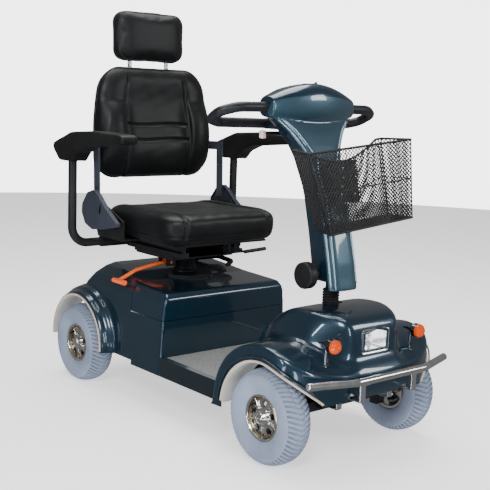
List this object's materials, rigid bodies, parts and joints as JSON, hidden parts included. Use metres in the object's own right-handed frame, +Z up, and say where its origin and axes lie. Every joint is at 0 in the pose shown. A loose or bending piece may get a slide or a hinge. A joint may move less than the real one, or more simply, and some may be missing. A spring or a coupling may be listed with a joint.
{
  "type": "mobility scooter",
  "caption": "Mobility scooter with four wheels, swivelling captain seat with flip-up armrests and headrest, tilting tiller with loop handles, and a mesh basket.",
  "frame": {"origin": "on the ground, at the middle of the whole scooter's box", "axes": "+Z up, -Y the way the scooter drives, -X the rider's right"},
  "size_m": [0.728, 1.293, 1.2445],
  "materials": {
    "body_paint": "glossy metallic",
    "tiller_paint": "glossy metallic",
    "tyre_grey": "matt",
    "hub_chrome": "polished",
    "chrome": "polished",
    "black_steel": "satin",
    "steel": "satin",
    "black_plastic": "satin",
    "grey_plastic": "satin",
    "liner_grey": "matt",
    "floor_grey": "speckled",
    "floor_shell": "gloss",
    "vinyl_black": "vinyl",
    "armrest_black": "satin",
    "handle_black": "satin",
    "amber": "clear",
    "lamp_glass": "clear",
    "lamp_red": "gloss",
    "reflector": "mirror",
    "orange_lever": "satin",
    "battery_case": "matt",
    "controller_case": "satin",
    "drive_case": "cast",
    "basket_mesh": "satin",
    "paddle_white": "gloss",
    "rubber_black": "matt"
  },
  "bodies": {
    "chassis": {"main_frame": "black_steel", "drive_unit": "drive_case", "batteries": "battery_case", "controller": "controller_case", "rear_body_shell": "body_paint", "post_flange": "black_plastic", "cover_handle": "black_plastic", "front_shroud": "body_paint", "wheel_arch_liners": "liner_grey", "floor_pan": "floor_shell", "floor_mat": "floor_grey", "headlight_unit": "reflector", "headlight_lens": "lamp_glass", "indicator_housings": "chrome", "indicator_lenses": "amber", "rear_lamps": "lamp_red", "front_bumper": "chrome", "rear_bumper": "chrome"},
    "battery_cover": {"battery_cover": "body_paint"},
    "column": {"steering_column": "black_steel", "steering_boot": "rubber_black"},
    "knuckle_left": {"knuckle_left": "black_steel"},
    "knuckle_right": {"knuckle_right": "black_steel"},
    "tie_rod": {"tie_rod": "steel"},
    "wheel_front_left": {"tyre_front_left": "tyre_grey", "hub_front_left": "hub_chrome"},
    "wheel_front_right": {"tyre_front_right": "tyre_grey", "hub_front_right": "hub_chrome"},
    "wheel_rear_left": {"tyre_rear_left": "tyre_grey", "hub_rear_left": "hub_chrome"},
    "wheel_rear_right": {"tyre_rear_right": "tyre_grey", "hub_rear_right": "hub_chrome"},
    "tiller": {"tiller_rear_shell": "body_paint", "tiller_front_cover": "tiller_paint", "handlebar": "handle_black", "console_panel": "black_plastic", "basket_bracket": "black_steel"},
    "tilt_knob": {"tilt_knob": "black_plastic"},
    "throttle_rocker": {"throttle_rocker": "paddle_white"},
    "speed_dial": {"speed_dial": "black_plastic"},
    "ignition_key": {"ignition_key": "steel"},
    "basket": {"basket": "basket_mesh"},
    "seat_post": {"seat_post": "black_steel"},
    "swivel_lever": {"swivel_lever": "orange_lever"},
    "swivel_plate": {"swivel_plate": "black_steel"},
    "seat": {"seat_frame": "black_steel", "seat_cushion": "vinyl_black", "recliner_covers": "grey_plastic"},
    "slide_lever": {"slide_lever": "black_steel"},
    "backrest": {"backrest_frame": "grey_plastic", "backrest_cushion": "vinyl_black"},
    "recline_lever": {"recline_lever": "black_plastic"},
    "headrest": {"headrest_posts": "steel", "headrest_cushion": "vinyl_black"},
    "armrest_tube_left": {"armrest_tube_left": "black_steel"},
    "armrest_tube_right": {"armrest_tube_right": "black_steel"},
    "armrest_pad_left": {"armrest_pad_left": "armrest_black"},
    "armrest_pad_right": {"armrest_pad_right": "armrest_black"},
    "armrest_knob_left": {"armrest_knob_left": "black_plastic"},
    "armrest_knob_right": {"armrest_knob_right": "black_plastic"}
  },
  "joints": [
    {"name": "steering", "type": "hinge", "parent": "chassis", "child": "column", "pos_m": [0, -0.394, 0.3], "axis": [0, 0, 1], "range_deg": [-30, 30]},
    {"name": "knuckle_left_turn", "type": "hinge", "parent": "chassis", "child": "knuckle_left", "pos_m": [0.186, -0.432, 0.13], "axis": [0, 0, 1], "range_deg": [-30, 30]},
    {"name": "knuckle_right_turn", "type": "hinge", "parent": "chassis", "child": "knuckle_right", "pos_m": [-0.186, -0.432, 0.13], "axis": [0, 0, 1], "range_deg": [-30, 30]},
    {"name": "tie_rod_swing", "type": "hinge", "parent": "knuckle_left", "child": "tie_rod", "pos_m": [0.186, -0.372, 0.119], "axis": [0, 0, 1], "range_deg": [-30, 30]},
    {"name": "wheel_front_left_spin", "type": "hinge", "parent": "knuckle_left", "child": "wheel_front_left", "pos_m": [0.246, -0.432, 0.13], "axis": [1, 0, 0], "continuous": true},
    {"name": "wheel_front_right_spin", "type": "hinge", "parent": "knuckle_right", "child": "wheel_front_right", "pos_m": [-0.246, -0.432, 0.13], "axis": [1, 0, 0], "continuous": true},
    {"name": "wheel_rear_left_spin", "type": "hinge", "parent": "chassis", "child": "wheel_rear_left", "pos_m": [0.26, 0.5, 0.13], "axis": [1, 0, 0], "continuous": true},
    {"name": "wheel_rear_right_spin", "type": "hinge", "parent": "chassis", "child": "wheel_rear_right", "pos_m": [-0.26, 0.5, 0.13], "axis": [1, 0, 0], "continuous": true},
    {"name": "tiller_tilt", "type": "hinge", "parent": "column", "child": "tiller", "pos_m": [0, -0.394, 0.49], "axis": [-1, 0, 0], "range_deg": [-12, 20]},
    {"name": "tilt_knob_turn", "type": "hinge", "parent": "tiller", "child": "tilt_knob", "pos_m": [-0.1, -0.394, 0.49], "axis": [1, 0, 0], "range_deg": [0, 360]},
    {"name": "throttle_pull", "type": "hinge", "parent": "tiller", "child": "throttle_rocker", "pos_m": [0, -0.209, 0.866], "axis": [0, 0, 1], "range_deg": [-12, 12], "stiffness_Nm_per_rad": 0.6},
    {"name": "speed_dial_turn", "type": "hinge", "parent": "tiller", "child": "speed_dial", "pos_m": [0, -0.24537, 0.98768], "axis": [0, 0.4472, 0.8944], "range_deg": [-135, 135]},
    {"name": "key_turn", "type": "hinge", "parent": "tiller", "child": "ignition_key", "pos_m": [0.052, -0.24537, 0.98768], "axis": [0, 0.4472, 0.8944], "range_deg": [0, 90]},
    {"name": "basket_lift_off", "type": "slide", "parent": "tiller", "child": "basket", "axis": [0, 0, 1], "range_m": [0, 0.15]},
    {"name": "battery_cover_pull_off", "type": "slide", "parent": "chassis", "child": "battery_cover", "axis": [0, -1, 0], "range_m": [0, 0.12]},
    {"name": "seat_height", "type": "slide", "parent": "chassis", "child": "seat_post", "axis": [0, 0, 1], "range_m": [0, 0.075]},
    {"name": "seat_swivel", "type": "hinge", "parent": "seat_post", "child": "swivel_plate", "pos_m": [0, 0.298, 0.441], "axis": [0, 0, 1], "continuous": true},
    {"name": "swivel_lever_lift", "type": "hinge", "parent": "seat_post", "child": "swivel_lever", "pos_m": [-0.07, 0.298, 0.42], "axis": [0, 1, 0], "range_deg": [0, 12], "stiffness_Nm_per_rad": 3, "springref_deg": -20.05},
    {"name": "seat_fore_aft", "type": "slide", "parent": "swivel_plate", "child": "seat", "axis": [0, -1, 0], "range_m": [-0.07, 0.07]},
    {"name": "slide_lever_lift", "type": "hinge", "parent": "seat", "child": "slide_lever", "pos_m": [0.064, 0.13, 0.476], "axis": [-1, 0, 0], "range_deg": [0, 8], "stiffness_Nm_per_rad": 0.5, "springref_deg": -28.65},
    {"name": "backrest_recline", "type": "hinge", "parent": "seat", "child": "backrest", "pos_m": [0, 0.44, 0.59], "axis": [-1, 0, 0], "range_deg": [-70, 20]},
    {"name": "recline_lever_lift", "type": "hinge", "parent": "seat", "child": "recline_lever", "pos_m": [0.285, 0.44, 0.59], "axis": [-1, 0, 0], "range_deg": [0, 25], "stiffness_Nm_per_rad": 0.3, "springref_deg": -22.92},
    {"name": "headrest_height", "type": "slide", "parent": "backrest", "child": "headrest", "axis": [0, 0.0349, 0.9994], "range_m": [0, 0.06]},
    {"name": "armrest_left_width", "type": "slide", "parent": "seat", "child": "armrest_tube_left", "axis": [1, 0, 0], "range_m": [0, 0.06]},
    {"name": "armrest_left_flip", "type": "hinge", "parent": "armrest_tube_left", "child": "armrest_pad_left", "pos_m": [0.333, 0.462, 0.765], "axis": [-1, 0, 0], "range_deg": [0, 88]},
    {"name": "armrest_knob_left_turn", "type": "hinge", "parent": "seat", "child": "armrest_knob_left", "pos_m": [0.214, 0.462, 0.498], "axis": [0, 0, 1], "range_deg": [0, 360]},
    {"name": "armrest_right_width", "type": "slide", "parent": "seat", "child": "armrest_tube_right", "axis": [-1, 0, 0], "range_m": [0, 0.06]},
    {"name": "armrest_right_flip", "type": "hinge", "parent": "armrest_tube_right", "child": "armrest_pad_right", "pos_m": [-0.333, 0.462, 0.765], "axis": [-1, 0, 0], "range_deg": [0, 88]},
    {"name": "armrest_knob_right_turn", "type": "hinge", "parent": "seat", "child": "armrest_knob_right", "pos_m": [-0.214, 0.462, 0.498], "axis": [0, 0, 1], "range_deg": [0, 360]}
  ],
  "couplings": [
    {"joint": "knuckle_left_turn", "follows": "steering", "ratio": 1},
    {"joint": "knuckle_right_turn", "follows": "steering", "ratio": 1},
    {"joint": "tie_rod_swing", "follows": "steering", "ratio": -1}
  ]
}
